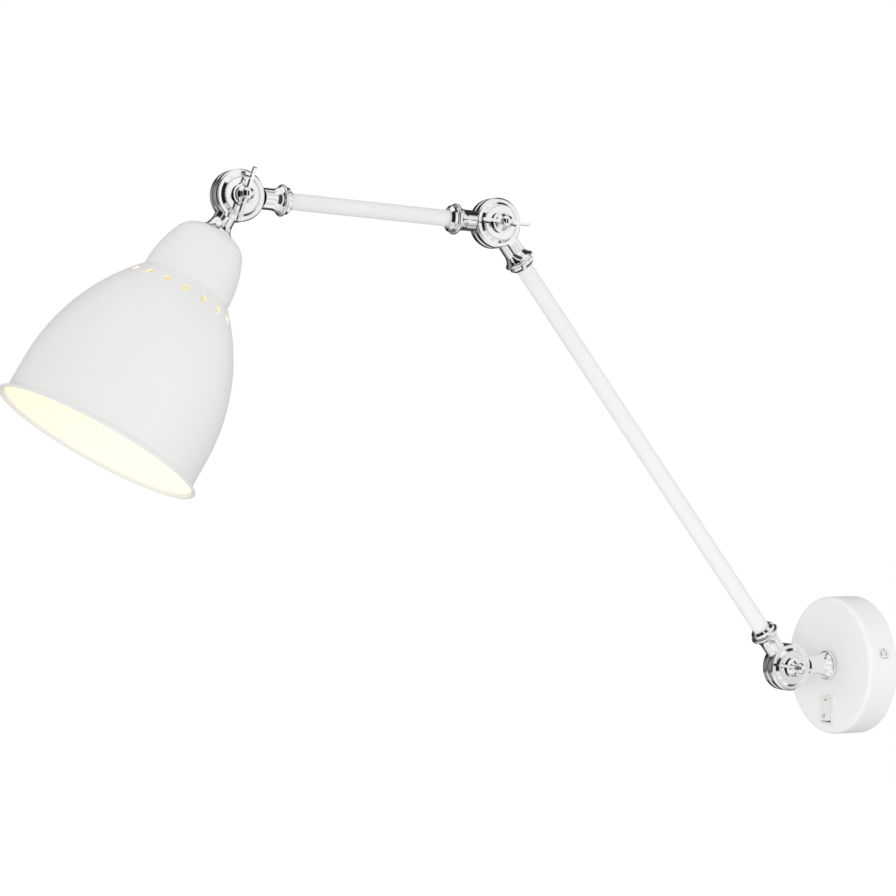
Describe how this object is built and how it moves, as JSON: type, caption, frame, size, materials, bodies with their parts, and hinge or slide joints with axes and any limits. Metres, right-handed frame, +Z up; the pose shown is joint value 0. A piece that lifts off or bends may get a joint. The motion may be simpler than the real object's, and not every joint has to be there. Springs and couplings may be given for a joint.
{
  "type": "swing-arm wall light",
  "caption": "Wall light with a round cup, two jointed tube arms on wing-nut friction knuckles and a vented bell shade over a screw-in bulb.",
  "frame": {"origin": "centre of the wall cup's rim, on the wall", "axes": "+Y into the wall, -Y out into the room, +Z up, +X to the right of someone facing the wall; every knuckle pivot runs along X with its wing nut on +X"},
  "size_m": [0.1392, 0.65, 0.3835],
  "materials": {
    "white_enamel": "matte white stove enamel",
    "chrome": "polished chrome plate",
    "zinc_steel": "zinc-plated steel",
    "brass": "bare brass",
    "white_plastic": "moulded, slightly glossy",
    "holder_plastic": "moulded thermoset",
    "fibre": "vulcanised fibre",
    "lead_sheath": "soft PVC sheath",
    "opal_glass": "frosted",
    "lamp_cap": "rolled thread"
  },
  "bodies": {
    "wall": {"wall_bracket": "zinc_steel", "wall_cup": "white_enamel", "cup_side_screws": "chrome", "switch_housing": "white_plastic", "switch_blades": "brass", "terminal_block": "white_plastic", "terminal_screws": "zinc_steel", "swivel_slide_washer": "fibre"},
    "rocker": {"switch_rocker": "white_plastic"},
    "swivel": {"boss_knuckle": "chrome", "swivel_stop_pin": "zinc_steel", "swivel_nipple": "zinc_steel", "swivel_spring_washer": "zinc_steel", "swivel_nut": "zinc_steel", "shoulder_pivot_bolt": "chrome", "shoulder_friction_washer": "fibre", "shoulder_spring_washer": "zinc_steel"},
    "shoulder_nut": {"shoulder_wing_nut": "chrome"},
    "lower_arm": {"lower_arm_knuckle": "chrome", "lower_arm_tube": "white_enamel", "lower_arm_lead": "lead_sheath", "lower_elbow_knuckle": "chrome"},
    "upper_arm": {"upper_elbow_knuckle": "chrome", "upper_arm_tube": "white_enamel", "upper_arm_lead": "lead_sheath", "upper_head_knuckle": "chrome", "elbow_pivot_bolt": "chrome", "elbow_friction_washer": "fibre", "elbow_spring_washer": "zinc_steel", "head_pivot_bolt": "chrome", "head_friction_washer": "fibre", "head_spring_washer": "zinc_steel"},
    "elbow_nut": {"elbow_wing_nut": "chrome"},
    "head_nut": {"head_wing_nut": "chrome"},
    "head": {"shade_knuckle": "chrome", "shade": "white_enamel", "shade_nipple": "zinc_steel", "shade_nut": "zinc_steel", "lampholder_cap": "holder_plastic", "lampholder_body": "holder_plastic", "lampholder_sleeve": "brass", "lampholder_contact": "brass", "bulb_cap": "lamp_cap", "bulb_glass": "opal_glass"}
  },
  "joints": [
    {"name": "switch_rocks", "type": "hinge", "parent": "wall", "child": "rocker", "pos_m": [0, -0.0223, -0.0327], "axis": [1, 0, 0], "range_deg": [0, 16]},
    {"name": "arm_swivels", "type": "hinge", "parent": "wall", "child": "swivel", "pos_m": [0, 0, 0], "axis": [0, 1, 0], "range_deg": [-90, 90]},
    {"name": "lower_arm_tilts", "type": "hinge", "parent": "swivel", "child": "lower_arm", "pos_m": [0, -0.06115, 0], "axis": [-1, 0, 0], "range_deg": [-141.4, 38.6]},
    {"name": "upper_arm_tilts", "type": "hinge", "parent": "lower_arm", "child": "upper_arm", "pos_m": [0, -0.30696, 0.30792], "axis": [-1, 0, 0], "range_deg": [-40.9, 139.1]},
    {"name": "shade_tilts", "type": "hinge", "parent": "upper_arm", "child": "head", "pos_m": [0, -0.49661, 0.31554], "axis": [-1, 0, 0], "range_deg": [-57.9, 122.1]},
    {"name": "shoulder_nut_turns", "type": "hinge", "parent": "swivel", "child": "shoulder_nut", "pos_m": [0, -0.06115, 0], "axis": [1, 0, 0], "range_deg": [0, 180]},
    {"name": "elbow_nut_turns", "type": "hinge", "parent": "upper_arm", "child": "elbow_nut", "pos_m": [0, -0.30696, 0.30792], "axis": [1, 0, 0], "range_deg": [0, 180]},
    {"name": "head_nut_turns", "type": "hinge", "parent": "upper_arm", "child": "head_nut", "pos_m": [0, -0.49661, 0.31554], "axis": [1, 0, 0], "range_deg": [0, 180]}
  ]
}
